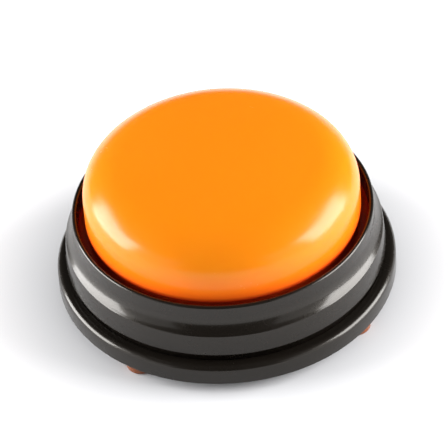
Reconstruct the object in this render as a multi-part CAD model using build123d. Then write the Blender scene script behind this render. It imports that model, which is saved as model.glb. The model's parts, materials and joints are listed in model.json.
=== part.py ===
"""Quiz buzzer: a coloured dome button in a black stepped ring, on a base plate that holds the works.

Millimetres, +Z up. The origin is the centre of the circle that the feet stand on. The battery
compartment and its door lie on the +Y side, their long way along X, and the speaker on the -Y side.
"""
import os
from math import cos, pi, radians, sin, tan

from build123d import *

# ---- driving dimensions -------------------------------------------------------------------
OVERALL_R = 44.45            # flange of the skirt ring: 3.5 inches across
FOOT_HEIGHT = 2.6            # the skirt and the base plate ride this high above the table
PLATE_T = 2.0                # floor of the base plate
TRAVEL = 2.8                 # how far the button goes down
GAP = 0.1                    # assembly gap between moulded parts
SMALL_STEP = 0.5             # clear of a wall or an edge
RUNNING_GAP = 0.06           # radial clearance of the door's hinge pins

# black ring, bottom to top
LEDGE_Z = FOOT_HEIGHT + 5.5  # top of the flange
FLANGE_ROUND = 1.5
TIER_Z = FOOT_HEIGHT + 7.5   # lower edge of the upper tier; the groove is between it and the ledge
TIER_R = 42.0
TIER_ROUND = 0.4
CREASE_R = 41.5
CREASE_Z = FOOT_HEIGHT + 13.8   # where the tier's wall meets the cove
RIM_R = 39.3                 # outside of the rim above the cove
RIM_INNER_R = 38.0
RIM_Z = FOOT_HEIGHT + 21.1   # where the rim's rounded top begins
COVE_TILT = 50               # degrees from vertical of the cove where it starts at the crease
SPIGOT_R = 41.0              # the ring's lower wall, inside the skirt
SKIRT_LIP_T = 1.4            # the skirt's inward lip, clamped between the base plate and the spigot
BORE_R = 38.9                # inside of the ring, below the lip that holds the button down
LIP_Z = FOOT_HEIGHT + 15.8   # underside of that lip

# button
BUTTON_R = 35.9
BUTTON_WALL = 2.2
BUTTON_FLANGE_R = 38.6
BUTTON_FLANGE_T = 1.4
WALL_TOP_Z = FOOT_HEIGHT + 27.4   # the button's wall is straight up to here
SHOULDER_ARCS = ((8.0, 48), (15.0, 82))   # radius, and the tilt in degrees that the arc ends at
UNDERCUT_R = 35.3            # the wall is this narrow below the rim, so that the gap there is dark
UNDERCUT_Z = RIM_Z - 0.6
RIB_T = 1.2
RIB_DEPTH = 4.5
PLUNGER_R = 3.0

# soft feet, each with a stem pushed into the base plate
FOOT_R = 3.9
FOOT_STEM_R = 2.5
FOOT_STEM_L = 1.2
FOOT_ROUND = 0.6
FOOT_CIRCLE_R = 39.9
FOOT_ANGLES = (0, 90, 180, 270)

# screws between the feet, up into bosses of the top ring
SCREW_CIRCLE_R = 38.6
SCREW_ANGLES = (45, 135, 225, 315)
SCREW_R = 1.15
SCREW_HEAD_R = 2.4
SCREW_HEAD_T = 1.4
SCREW_L = 8.2
SCREW_SINK = 0.5             # thickness of base plate left under a screw's head
SLOT_HALF_WIDTH = 0.3        # of the cross in a screw's head
SLOT_REACH = 0.62            # how far the cross reaches, as a part of the head's radius
HEAD_GAP = 0.3               # between a sunk head and the wall of its hole
BOSS_R = 3.0
BOSS_TOP_Z = FOOT_HEIGHT + 10.8
SMALL_SCREW_R = 0.9          # the board's and the speaker's screws
SMALL_HEAD_R = 1.9
SMALL_HEAD_T = 1.3
SMALL_SCREW_BITE = 3.5       # thread in a post

# AAA cells in their compartment
CELL_R = 5.25
CELL_LENGTH = 44.5
CELL_NUB_R = 1.9
CELL_NUB_L = 1.0
CELL_Y = (6.0, 16.8)
CELL_Z = FOOT_HEIGHT + 7.35
TRAY_X = 26.0                # half the compartment's length
TRAY_WALL = 1.2
TRAY_ROOF_T = 1.0
TRAY_SIDE_GAP = 0.35
TRAY_CEILING_Z = FOOT_HEIGHT + 12.9
TRAY_SHOULDER_Z = FOOT_HEIGHT + 10.1   # the ceiling steps down to here outside the button's skirt
TRAY_CLEAR_R = 33.2          # the high part of the compartment stays inside this radius
CONTACT_T = 0.4
CONTACT_BUMP_R = 1.6
CONTACT_BUMP_T = 0.6
CONTACT_WIDTH = 8.0
CONTACT_SPRING_R = 2.9
CONTACT_SPRING_TURNS = 4
TAB_WIDTH = 2.4
TAB_RISE = 3.0               # how far a solder tab stands above the compartment's ceiling

# battery door
DOOR_T = 1.8
DOOR_GAP = 0.2
HINGE_PIN_R = 0.5
HINGE_PIN_L = 0.9
EAR_X = 31.0
EAR_R = 4.2
EAR_T = 1.4
EAR_RIM = 1.2                # wall round the ear's seat
GROOVE_X = (14.0, 16.0, 18.0, 20.0, 22.0)   # finger grooves across the door, by its screw
GROOVE_WIDTH = 0.9
GROOVE_DEPTH = 0.5
GROOVE_LENGTH = 11.0
DOOR_SCREW_R = 1.2
DOOR_SCREW_HOLE_R = 1.65
DOOR_SCREW_HEAD_T = 0.7
DOOR_SCREW_L = 5.0
DOOR_SCREW_BOSS_Z = 8.0      # height of its boss above the plate's underside

# circuit board and switch
BOARD_R = 23.0
BOARD_T = 1.6
BOARD_Z = FOOT_HEIGHT + 18.8
BOARD_POSTS = ((-19.5, -5.5), (19.5, -5.5), (0.0, 19.5))
POST_R = 2.6
BOARD_HOLE_R = 1.2
CHIP_XY = (-12.0, 6.0)
CHIP_R = 4.4
CHIP_H = 1.4
CAPACITOR_XY = (9.0, -13.0)
CAPACITOR_R = 2.5
CAPACITOR_H = 5.4
TRANSISTOR_XY = (-8.0, -14.0)
TRANSISTOR_R = 2.4
TRANSISTOR_FLAT = 1.2        # from its middle to the flat side
TRANSISTOR_H = 4.0
RESISTOR_X = (6.0, 9.5, 13.0)
RESISTOR_R = 0.9
RESISTOR_L = 5.5
SWITCH_R = 6.0
SWITCH_H = 5.6
SWITCH_FOOT_T = 0.9
SWITCH_CROWN_R = 3.3
SWITCH_SKIN = 0.8            # thickness of the cone that buckles
PILL_R = 1.8
PILL_T = 1.0

# return springs
SPRING_CIRCLE_R = 29.0
SPRING_ANGLES = (90, 210, 330)
SPRING_R = 2.6               # to the middle of the wire
SPRING_WIRE_R = 0.3
SPRING_SEAT_Z = FOOT_HEIGHT + 11.8
SPRING_TOP_Z = FOOT_HEIGHT + 23.8
SPRING_TURNS = 6
SPRING_TUBE_R = 4.2
SPRING_TUBE_BORE_R = 3.3
SPRING_TUBE_SHORT = 4.0      # how much shorter than the button's wall the tubes are
SPRING_POST_R = 1.8          # the peg inside the spring
SPRING_POST_H = 5.0

# speaker
SPEAKER_Y = -17.0
SPEAKER_R = 14.5
SPEAKER_RIM_T = 1.0
SPEAKER_BASKET_R = 11.5
SPEAKER_BACK_R = 10.0
SPEAKER_BASKET_Z = FOOT_HEIGHT + 5.4
MAGNET_R = 7.5
MAGNET_TOP_Z = FOOT_HEIGHT + 8.4
SPEAKER_SCREW_X = 17.0
SPEAKER_WALL_T = 1.3
SPEAKER_SEAT_H = SPEAKER_RIM_T   # height of the wall and of the screw bosses above the floor
SPEAKER_SCREW_BITE = 2.2
SPEAKER_BOSS_R = 2.2
WASHER_R = 3.4
WASHER_T = 0.6
SHEET_T = 0.8                # thickness of the basket
CONE_FOLD_R = 5.0            # the cone is deepest here
CONE_DEPTH = 1.3
CONE_T = 0.4
SLOT_PITCH = 3.2
SLOT_WIDTH = 1.4
SLOT_FIELD_R = 10.5          # the slots' ends lie on this circle
SLOT_STEPS = range(-3, 4)

WIRE_R = 0.45
WIRE_BEND = 0.45             # part of the shorter run that a bend takes
BATTERY_PAD_X = 17.5
BATTERY_PAD_Y = (1.0, 13.5)
BATTERY_WIRE_RISE = 6.8      # highest run above the board
SPEAKER_TAG_X = 3.0          # where the wires meet the basket and the board, from the speaker's middle
SPEAKER_TAG_Y = 8.6
SPEAKER_PAD_X = 7.5
SPEAKER_PAD_Y = 11.0
SPEAKER_WIRE_RISE = 4.7      # straight run at each end

# ---- worked out from them -------------------------------------------------------------------
PLATE_Z = FOOT_HEIGHT + PLATE_T
SPIGOT_Z = PLATE_Z + SKIRT_LIP_T
PLATE_R = OVERALL_R - 1.25
TRAY_Y = (CELL_Y[0] - CELL_R - TRAY_SIDE_GAP, CELL_Y[1] + CELL_R + TRAY_SIDE_GAP)
TRAY_MID_Y = sum(TRAY_Y) / 2
SPEAKER_SCREWS = (-SPEAKER_SCREW_X, SPEAKER_SCREW_X)
BUTTON_FLANGE_TOP_Z = LIP_Z - GAP
BUTTON_BOTTOM_Z = BUTTON_FLANGE_TOP_Z - BUTTON_FLANGE_T
BOARD_TOP_Z = BOARD_Z + BOARD_T
SWITCH_TOP_Z = BOARD_TOP_Z + SWITCH_H
PILL_Z = BOARD_TOP_Z + TRAVEL + GAP
HINGE_X = -TRAY_X + GAP + DOOR_T / 2
HINGE_Z = FOOT_HEIGHT + DOOR_T / 2
GRIP = (Align.CENTER, Align.CENTER, Align.MIN)


# ---- small makers ---------------------------------------------------------------------------
def rod(radius, z_low, z_high, x=0.0, y=0.0):
    """An upright cylinder between two heights."""
    return Pos(x, y, z_low) * Cylinder(radius, z_high - z_low, align=GRIP)


def bar(radius, start, end):
    """A cylinder between two points."""
    line = Vector(*end) - Vector(*start)
    return Plane(origin=start, z_dir=line) * Cylinder(radius, line.length, align=GRIP)


def block(x_range, y_range, z_range):
    """A box between two limits on each axis."""
    sizes = [high - low for low, high in (x_range, y_range, z_range)]
    return Pos(x_range[0], y_range[0], z_range[0]) * Box(*sizes, align=(Align.MIN,) * 3)


def turned(outline):
    """A solid of revolution about Z from a closed outline of radius and height."""
    return revolve(Plane.XZ * make_face(outline), Axis.Z)


def on_circle(radius, angles):
    """Points on a circle about the origin, as Vectors at height 0."""
    return [Vector(radius, 0, 0).rotate(Axis.Z, angle) for angle in angles]


def pan_screw(point, z_seat, length, head_down, shank_r=SCREW_R, head_r=SCREW_HEAD_R, head_t=SCREW_HEAD_T):
    """A pan-head screw whose head bears on z_seat; its head is below the seat if head_down."""
    way = 1 if head_down else -1
    head_z = sorted((z_seat - way * head_t, z_seat))
    shank_z = sorted((z_seat, z_seat + way * length))
    slot_z = sorted((z_seat - way * head_t, z_seat - way * head_t / 2))
    screw = rod(head_r, *head_z, point.X, point.Y) + rod(shank_r, *shank_z, point.X, point.Y)
    slot_reach = SLOT_REACH * head_r
    for across, along in ((SLOT_HALF_WIDTH, slot_reach), (slot_reach, SLOT_HALF_WIDTH)):
        x_range = (point.X - across, point.X + across)
        y_range = (point.Y - along, point.Y + along)
        screw -= block(x_range, y_range, slot_z)
    return screw


def small_screw(x, y, z_seat, length):
    """A small pan-head screw that goes down from z_seat."""
    return pan_screw(Vector(x, y, 0), z_seat, length, False, SMALL_SCREW_R, SMALL_HEAD_R, SMALL_HEAD_T)


def coil(radius, wire_r, height, turns):
    """An open helical spring standing on the origin along +Z, wire included in its height."""
    path = Helix(pitch=(height - 2 * wire_r) / turns, height=height - 2 * wire_r, radius=radius)
    section = Plane(origin=path @ 0, z_dir=path % 0) * Circle(wire_r)
    return Pos(0, 0, wire_r) * sweep(section, path=path, is_frenet=True)


# ---- black rings ----------------------------------------------------------------------------
def top_ring():
    """Upper tier, cove and rim of the ring, with the lip that holds the button and four bosses."""
    cove_r = (CREASE_R - RIM_R) / (1 - cos(radians(COVE_TILT)))
    cove_end_z = CREASE_Z + cove_r * sin(radians(COVE_TILT))
    rim_half = (RIM_R - RIM_INNER_R) / 2
    outline = Polyline(
        (RIM_INNER_R, RIM_Z), (RIM_INNER_R, LIP_Z), (BORE_R, LIP_Z), (BORE_R, SPIGOT_Z),
        (SPIGOT_R, SPIGOT_Z), (SPIGOT_R, TIER_Z), (TIER_R - TIER_ROUND, TIER_Z),
    )
    outline += CenterArc((TIER_R - TIER_ROUND, TIER_Z + TIER_ROUND), TIER_ROUND, 270, 90)
    outline += Line((TIER_R, TIER_Z + TIER_ROUND), (CREASE_R, CREASE_Z))
    outline += CenterArc((RIM_R + cove_r, cove_end_z), cove_r, 180, COVE_TILT)
    outline += Line((RIM_R, cove_end_z), (RIM_R, RIM_Z))
    outline += CenterArc((RIM_R - rim_half, RIM_Z), rim_half, 0, 180)
    ring = turned(outline)
    wall = rod(SPIGOT_R, PLATE_Z, BOSS_TOP_Z)
    for point in on_circle(SCREW_CIRCLE_R, SCREW_ANGLES):
        ring += rod(BOSS_R, PLATE_Z, BOSS_TOP_Z, point.X, point.Y) & wall
    for point in on_circle(SCREW_CIRCLE_R, SCREW_ANGLES):
        ring -= rod(SCREW_R, PLATE_Z, BOSS_TOP_Z - 1, point.X, point.Y)
    return ring


def skirt_ring():
    """The low flange: it is clamped between the base plate and the top ring's spigot."""
    inner = SPIGOT_R + GAP
    lip_r = BORE_R + 4 * GAP
    rebate = PLATE_R + GAP
    outline = Polyline(
        (OVERALL_R - FLANGE_ROUND, LEDGE_Z), (inner, LEDGE_Z), (inner, SPIGOT_Z), (lip_r, SPIGOT_Z),
        (lip_r, PLATE_Z), (rebate, PLATE_Z), (rebate, FOOT_HEIGHT), (OVERALL_R, FOOT_HEIGHT),
        (OVERALL_R, LEDGE_Z - FLANGE_ROUND),
    )
    outline += CenterArc((OVERALL_R - FLANGE_ROUND, LEDGE_Z - FLANGE_ROUND), FLANGE_ROUND, 0, 90)
    ring = turned(outline)
    for point in on_circle(SCREW_CIRCLE_R, SCREW_ANGLES):
        ring -= rod(BOSS_R + GAP, PLATE_Z, SPIGOT_Z, point.X, point.Y)
    return ring


# ---- button ---------------------------------------------------------------------------------
def dome_outline(wall):
    """Arcs of the dome from the straight wall to the axis, at a depth under the skin, and its top."""
    centre_r = BUTTON_R - SHOULDER_ARCS[0][0]
    centre_z = WALL_TOP_Z
    arcs = None
    tilt = 0
    for index, (radius, end_tilt) in enumerate(SHOULDER_ARCS):
        arc = CenterArc((centre_r, centre_z), radius - wall, tilt, end_tilt - tilt)
        arcs = arc if arcs is None else arcs + arc
        last = index + 1 == len(SHOULDER_ARCS)
        end_r = centre_r + radius * cos(radians(end_tilt))
        next_radius = end_r / cos(radians(end_tilt)) if last else SHOULDER_ARCS[index + 1][0]
        centre_r -= (next_radius - radius) * cos(radians(end_tilt))
        centre_z -= (next_radius - radius) * sin(radians(end_tilt))
        tilt = end_tilt
    arcs += CenterArc((0, centre_z), next_radius - wall, tilt, 90 - tilt)
    return arcs, centre_z + next_radius - wall


def button_cap():
    """The coloured dome, with its hold-down flange, spring tubes, ribs and plunger."""
    outside, top_z = dome_outline(0)
    inside, roof_z = dome_outline(BUTTON_WALL)
    inner_r = BUTTON_R - BUTTON_WALL
    outline = outside + inside + Line((0, top_z), (0, roof_z))
    outline += Polyline(
        (BUTTON_R, WALL_TOP_Z), (BUTTON_R, UNDERCUT_Z), (UNDERCUT_R, UNDERCUT_Z - BUTTON_R + UNDERCUT_R),
        (UNDERCUT_R, BUTTON_FLANGE_TOP_Z), (BUTTON_FLANGE_R, BUTTON_FLANGE_TOP_Z),
        (BUTTON_FLANGE_R, BUTTON_BOTTOM_Z), (inner_r, BUTTON_BOTTOM_Z), (inner_r, WALL_TOP_Z),
    )
    shell = turned(outline)
    tube_z = BUTTON_BOTTOM_Z + SPRING_TUBE_SHORT
    works = rod(PLUNGER_R, SWITCH_TOP_Z + GAP, roof_z + BUTTON_WALL / 2)
    for angle, point in zip(SPRING_ANGLES, on_circle(SPRING_CIRCLE_R, SPRING_ANGLES)):
        tube = rod(SPRING_TUBE_R, tube_z, roof_z, point.X, point.Y)
        rib_z = (roof_z - RIB_DEPTH, roof_z + BUTTON_WALL / 2)
        works += Rot(0, 0, angle) * block((0, SPRING_CIRCLE_R), (-RIB_T / 2, RIB_T / 2), rib_z)
        works += tube
        works -= rod(SPRING_TUBE_BORE_R, BUTTON_BOTTOM_Z, SPRING_TOP_Z + GAP / 2, point.X, point.Y)
    filled = turned(outside + Polyline((0, top_z), (0, WALL_TOP_Z), (BUTTON_R, WALL_TOP_Z)))
    envelope = filled + rod(UNDERCUT_R, BUTTON_BOTTOM_Z, WALL_TOP_Z)
    return shell + (works & envelope)


def contact_pill():
    """The carbon pill in the switch dome, which meets the board when the button is down."""
    return rod(PILL_R, PILL_Z, PILL_Z + PILL_T)


def switch_dome():
    """Silicone switch dome: a flat foot, a thin cone and a solid crown that holds the pill."""
    pill_top = PILL_Z + PILL_T
    foot_z = BOARD_TOP_Z + SWITCH_FOOT_T
    slack = SWITCH_SKIN / 2
    crown = SWITCH_CROWN_R
    neck = (SWITCH_R + crown) / 2
    return turned(Polyline(
        (SWITCH_R, BOARD_TOP_Z), (SWITCH_R, foot_z), (neck, foot_z), (crown, pill_top - slack),
        (crown, SWITCH_TOP_Z), (0, SWITCH_TOP_Z), (0, pill_top), (crown - SWITCH_SKIN, pill_top),
        (neck - SWITCH_SKIN, foot_z - slack), (neck - SWITCH_SKIN, BOARD_TOP_Z), close=True,
    ))


def return_spring(index):
    """One coil spring between a post of the base plate and a tube of the button."""
    point = on_circle(SPRING_CIRCLE_R, SPRING_ANGLES)[index]
    spring = coil(SPRING_R, SPRING_WIRE_R, SPRING_TOP_Z - SPRING_SEAT_Z, SPRING_TURNS)
    return Pos(point.X, point.Y, SPRING_SEAT_Z) * spring


# ---- base plate -----------------------------------------------------------------------------
def tray_block(grow, shoulder_z, ceiling_z, clear_r, floor_z):
    """The compartment's box, grown by a wall: high within a radius and lower outside it."""
    x_range = (-TRAY_X - grow, TRAY_X + grow)
    y_range = (TRAY_Y[0] - grow, TRAY_Y[1] + grow)
    low = block(x_range, y_range, (floor_z, shoulder_z))
    high = block(x_range, y_range, (floor_z, ceiling_z)) & rod(clear_r, floor_z, ceiling_z)
    return low + high


def base_plate():
    """Floor with battery compartment, spring and board posts, screw bosses and speaker grille."""
    plate = rod(PLATE_R, FOOT_HEIGHT, PLATE_Z)
    shoulder_z = TRAY_SHOULDER_Z + TRAY_ROOF_T
    plate += tray_block(TRAY_WALL, shoulder_z, TRAY_CEILING_Z + TRAY_ROOF_T, TRAY_CLEAR_R, FOOT_HEIGHT)
    for point in on_circle(SPRING_CIRCLE_R, SPRING_ANGLES):
        plate += rod(SPRING_R + TRAY_ROOF_T, FOOT_HEIGHT, SPRING_SEAT_Z, point.X, point.Y)
        plate += rod(SPRING_POST_R, FOOT_HEIGHT, SPRING_SEAT_Z + SPRING_POST_H, point.X, point.Y)
    for x, y in BOARD_POSTS:
        foot_z = TRAY_CEILING_Z + TRAY_ROOF_T / 2 if y > 0 else FOOT_HEIGHT
        plate += rod(POST_R, foot_z, BOARD_Z, x, y)
    plate += rod(EAR_R + EAR_RIM, FOOT_HEIGHT, PLATE_Z + EAR_RIM, EAR_X, TRAY_MID_Y)
    screw_boss_r = DOOR_SCREW_HOLE_R + EAR_RIM
    plate += rod(screw_boss_r, FOOT_HEIGHT, FOOT_HEIGHT + DOOR_SCREW_BOSS_Z, EAR_X, TRAY_MID_Y)
    seat_z = PLATE_Z + SPEAKER_SEAT_H
    speaker_seat = rod(SPEAKER_R + GAP, PLATE_Z, seat_z, 0, SPEAKER_Y)
    plate += rod(SPEAKER_R + SPEAKER_WALL_T, FOOT_HEIGHT, seat_z, 0, SPEAKER_Y) - speaker_seat
    for x in SPEAKER_SCREWS:
        plate += rod(SPEAKER_BOSS_R, FOOT_HEIGHT, seat_z, x, SPEAKER_Y) - speaker_seat
    return plate - base_plate_cuts()


def base_plate_cuts():
    """Everything taken out of the base plate: compartment, door seat, grille and screw holes."""
    cuts = tray_block(0, TRAY_SHOULDER_Z, TRAY_CEILING_Z, TRAY_CLEAR_R - TRAY_ROOF_T, 0)
    ear_seat_z = FOOT_HEIGHT + EAR_T + GAP
    half = EAR_R + DOOR_GAP
    cuts += rod(half, 0, ear_seat_z, EAR_X, TRAY_MID_Y)
    cuts += block((TRAY_X - TRAY_WALL, EAR_X), (TRAY_MID_Y - half, TRAY_MID_Y + half), (0, ear_seat_z))
    screw_hole_z = FOOT_HEIGHT + DOOR_SCREW_BOSS_Z - EAR_RIM
    cuts += rod(DOOR_SCREW_HOLE_R, 0, screw_hole_z, EAR_X, TRAY_MID_Y)
    pin_reach = HINGE_PIN_L + GAP
    start = (HINGE_X, TRAY_Y[0] - pin_reach, HINGE_Z)
    cuts += bar(HINGE_PIN_R + RUNNING_GAP, start, (HINGE_X, TRAY_Y[1] + pin_reach, HINGE_Z))
    for point in on_circle(SCREW_CIRCLE_R, SCREW_ANGLES):
        cuts += rod(SCREW_HEAD_R + HEAD_GAP, 0, PLATE_Z - SCREW_SINK, point.X, point.Y)
        cuts += rod(SCREW_R + GAP, 0, PLATE_Z, point.X, point.Y)
    for point in on_circle(FOOT_CIRCLE_R, FOOT_ANGLES):
        cuts += rod(FOOT_STEM_R, FOOT_HEIGHT, FOOT_HEIGHT + FOOT_STEM_L, point.X, point.Y)
    for x, y in BOARD_POSTS:
        cuts += rod(SMALL_SCREW_R, BOARD_Z - SMALL_SCREW_BITE - HEAD_GAP, BOARD_Z, x, y)
    for x in SPEAKER_SCREWS:
        seat_z = PLATE_Z + SPEAKER_SEAT_H
        cuts += rod(SMALL_SCREW_R, seat_z - SPEAKER_SCREW_BITE - GAP, seat_z, x, SPEAKER_Y)
    half_slot = TAB_WIDTH / 2 + DOOR_GAP
    for terminal_y in CELL_Y:
        tab_y = (terminal_y - half_slot, terminal_y + half_slot)
        tab_z = (TRAY_SHOULDER_Z - TRAY_ROOF_T, TRAY_CEILING_Z + 2 * TRAY_ROOF_T)
        cuts += block((TRAY_X - CONTACT_T - DOOR_GAP, TRAY_X + GAP), tab_y, tab_z)
    return cuts + grille_slots()


def grille_slots():
    """Parallel slots through the floor under the speaker, shorter towards the edge."""
    slots = None
    for step in SLOT_STEPS:
        offset = SLOT_PITCH * step
        length = 2 * (SLOT_FIELD_R**2 - offset**2) ** 0.5
        slot = Pos(offset, SPEAKER_Y, 0) * extrude(SlotOverall(length, SLOT_WIDTH, rotation=90), PLATE_Z)
        slots = slot if slots is None else slots + slot
    return slots


def base_screws():
    """The four screws that come up through the base plate into the top ring."""
    points = on_circle(SCREW_CIRCLE_R, SCREW_ANGLES)
    return [pan_screw(point, PLATE_Z - SCREW_SINK, SCREW_L, True) for point in points]


def feet():
    """The four soft pads that the buzzer stands on, each with its stem."""
    pads = []
    for point in on_circle(FOOT_CIRCLE_R, FOOT_ANGLES):
        pad = rod(FOOT_R, 0, FOOT_HEIGHT, point.X, point.Y)
        pad = fillet(pad.edges().group_by(Axis.Z)[0], FOOT_ROUND)
        pads.append(pad + rod(FOOT_STEM_R, FOOT_HEIGHT, FOOT_HEIGHT + FOOT_STEM_L, point.X, point.Y))
    return pads


# ---- battery door and cells -----------------------------------------------------------------
def battery_door():
    """Door plate with a rounded, pinned hinge end, finger grooves and an ear for its screw."""
    y_range = (TRAY_Y[0] + DOOR_GAP, TRAY_Y[1] - DOOR_GAP)
    top_z = FOOT_HEIGHT + DOOR_T
    door = block((HINGE_X, TRAY_X - DOOR_GAP), y_range, (FOOT_HEIGHT, top_z))
    door += bar(DOOR_T / 2, (HINGE_X, y_range[0], HINGE_Z), (HINGE_X, y_range[1], HINGE_Z))
    pin_start = (HINGE_X, TRAY_Y[0] - HINGE_PIN_L, HINGE_Z)
    door += bar(HINGE_PIN_R, pin_start, (HINGE_X, TRAY_Y[1] + HINGE_PIN_L, HINGE_Z))
    ear_z = (FOOT_HEIGHT, FOOT_HEIGHT + EAR_T)
    door += block((TRAY_X - TRAY_WALL, EAR_X), (TRAY_MID_Y - EAR_R, TRAY_MID_Y + EAR_R), ear_z)
    door += rod(EAR_R, *ear_z, EAR_X, TRAY_MID_Y)
    groove_y = (TRAY_MID_Y - GROOVE_LENGTH / 2, TRAY_MID_Y + GROOVE_LENGTH / 2)
    for x in GROOVE_X:
        x_range = (x - GROOVE_WIDTH / 2, x + GROOVE_WIDTH / 2)
        door -= block(x_range, groove_y, (FOOT_HEIGHT, FOOT_HEIGHT + GROOVE_DEPTH))
    door -= rod(DOOR_SCREW_R, 0, ear_z[1], EAR_X, TRAY_MID_Y)
    return door - rod(SCREW_HEAD_R, 0, FOOT_HEIGHT + DOOR_SCREW_HEAD_T, EAR_X, TRAY_MID_Y)


def door_screw():
    """The captive screw in the door's ear, its head countersunk."""
    point = Vector(EAR_X, TRAY_MID_Y, 0)
    seat_z = FOOT_HEIGHT + DOOR_SCREW_HEAD_T
    return pan_screw(point, seat_z, DOOR_SCREW_L, True, DOOR_SCREW_R, SCREW_HEAD_R, DOOR_SCREW_HEAD_T)


def cell(index):
    """One AAA cell along X; the first points its positive nub to +X and the second to -X."""
    can_l = CELL_LENGTH - CELL_NUB_L
    tip_x = TRAY_X - CONTACT_T - CONTACT_BUMP_T
    body = rod(CELL_R, 0, can_l) + rod(CELL_NUB_R, can_l, CELL_LENGTH)
    turn = 90 if index == 0 else -90
    start_x = (tip_x - CELL_LENGTH) * (1 if index == 0 else -1)
    return Pos(start_x, CELL_Y[index], CELL_Z) * Rot(0, turn, 0) * body


def contact_plate(side, y_range):
    """A nickel-plated contact plate on one end wall of the compartment."""
    x_range = sorted((side * (TRAY_X - CONTACT_T), side * TRAY_X))
    return block(x_range, y_range, (FOOT_HEIGHT + DOOR_T + SMALL_STEP, TRAY_SHOULDER_Z))


def terminal_plate(y):
    """The single plate of a terminal, on the +X end wall."""
    return contact_plate(1, (y - CONTACT_WIDTH / 2, y + CONTACT_WIDTH / 2))


def contact_bump(side, y):
    """The raised button of a contact that a cell's positive nub meets."""
    inner = side * (TRAY_X - CONTACT_T)
    return bar(CONTACT_BUMP_R, (inner, y, CELL_Z), (inner - side * CONTACT_BUMP_T, y, CELL_Z))


def contact_spring(side, y):
    """The coil spring of a contact that presses a cell's flat end."""
    length = 2 * (TRAY_X - CONTACT_T) - CONTACT_BUMP_T - CELL_LENGTH
    spring = coil(CONTACT_SPRING_R, SPRING_WIRE_R, length, CONTACT_SPRING_TURNS)
    return Pos(side * (TRAY_X - CONTACT_T), y, CELL_Z) * Rot(0, -90 * side, 0) * spring


def solder_tab(y):
    """The tab of a terminal that comes up through the compartment's ceiling."""
    y_range = (y - TAB_WIDTH / 2, y + TAB_WIDTH / 2)
    return block((TRAY_X - CONTACT_T, TRAY_X), y_range, (TRAY_SHOULDER_Z, TRAY_CEILING_Z + TAB_RISE))


def bridge_contact():
    """Contact that joins the two cells at the -X end: a spring for the first, a bump for the second."""
    plate = contact_plate(-1, (TRAY_Y[0] + SMALL_STEP, TRAY_Y[1] - SMALL_STEP))
    return plate + contact_spring(-1, CELL_Y[0]) + contact_bump(-1, CELL_Y[1])


def positive_terminal():
    """Terminal at the first cell's nub, with its solder tab."""
    y = CELL_Y[0]
    return terminal_plate(y) + contact_bump(1, y) + solder_tab(y)


def negative_terminal():
    """Terminal at the second cell's flat end, with its spring and solder tab."""
    y = CELL_Y[1]
    return terminal_plate(y) + contact_spring(1, y) + solder_tab(y)


# ---- circuit board --------------------------------------------------------------------------
def circuit_board():
    """Round board with three screw holes; the wires are soldered to its faces."""
    board = rod(BOARD_R, BOARD_Z, BOARD_TOP_Z)
    for x, y in BOARD_POSTS:
        board -= rod(BOARD_HOLE_R, BOARD_Z, BOARD_TOP_Z, x, y)
    return board


def board_screws():
    """The three screws that hold the board on its posts."""
    length = BOARD_T + SMALL_SCREW_BITE
    return [small_screw(x, y, BOARD_TOP_Z, length) for x, y in BOARD_POSTS]


def sound_chip():
    """The blob of black resin over the chip that plays the sound: a shallow cap of a sphere."""
    radius = (CHIP_R**2 + CHIP_H**2) / (2 * CHIP_H)
    ball = Pos(*CHIP_XY, BOARD_TOP_Z + CHIP_H - radius) * Sphere(radius)
    return ball & rod(2 * CHIP_R, BOARD_TOP_Z, BOARD_TOP_Z + 2 * CHIP_H, *CHIP_XY)


def capacitor():
    """The upright electrolytic capacitor."""
    can = rod(CAPACITOR_R, BOARD_TOP_Z, BOARD_TOP_Z + CAPACITOR_H, *CAPACITOR_XY)
    return fillet(can.edges().group_by(Axis.Z)[-1], SMALL_STEP)


def transistor():
    """The amplifier's transistor: a small half-round case on the board."""
    x, y = TRANSISTOR_XY
    z_range = (BOARD_TOP_Z, BOARD_TOP_Z + TRANSISTOR_H)
    x_range = (x - TRANSISTOR_R, x + TRANSISTOR_R)
    y_range = (y - TRANSISTOR_FLAT, y + TRANSISTOR_R)
    return rod(TRANSISTOR_R, *z_range, x, y) & block(x_range, y_range, z_range)


def resistors():
    """Three axial resistors side by side on the board."""
    z = BOARD_TOP_Z + RESISTOR_R
    bodies = []
    for x in RESISTOR_X:
        start_y = SWITCH_R - 2 * RESISTOR_R + x / 4
        bodies.append(bar(RESISTOR_R, (x, start_y, z), (x, start_y + RESISTOR_L, z)))
    return bodies


# ---- speaker --------------------------------------------------------------------------------
def speaker_frame():
    """Pressed-steel basket of the speaker: a rim, a sloping wall and a flat back."""
    rim_z = PLATE_Z + SPEAKER_RIM_T
    roof_z = SPEAKER_BASKET_Z - SHEET_T
    shape = turned(Polyline(
        (SPEAKER_R, PLATE_Z), (SPEAKER_R, rim_z), (SPEAKER_BASKET_R + SHEET_T, rim_z),
        (SPEAKER_BACK_R, SPEAKER_BASKET_Z), (0, SPEAKER_BASKET_Z), (0, roof_z),
        (SPEAKER_BACK_R - SHEET_T, roof_z), (SPEAKER_BASKET_R, PLATE_Z), close=True,
    ))
    return Pos(0, SPEAKER_Y, 0) * shape


def speaker_cone():
    """Clear plastic cone, facing down on the grille."""
    edge_r = SPEAKER_BASKET_R - SHEET_T - GAP
    edge_z = PLATE_Z + DOOR_GAP
    centre_z = edge_z + CONE_DEPTH / 2
    shape = turned(Polyline(
        (edge_r, edge_z), (edge_r, edge_z + CONE_T), (CONE_FOLD_R, edge_z + CONE_DEPTH + CONE_T),
        (0, centre_z + CONE_T), (0, centre_z), (CONE_FOLD_R, edge_z + CONE_DEPTH), close=True,
    ))
    return Pos(0, SPEAKER_Y, 0) * shape


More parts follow.
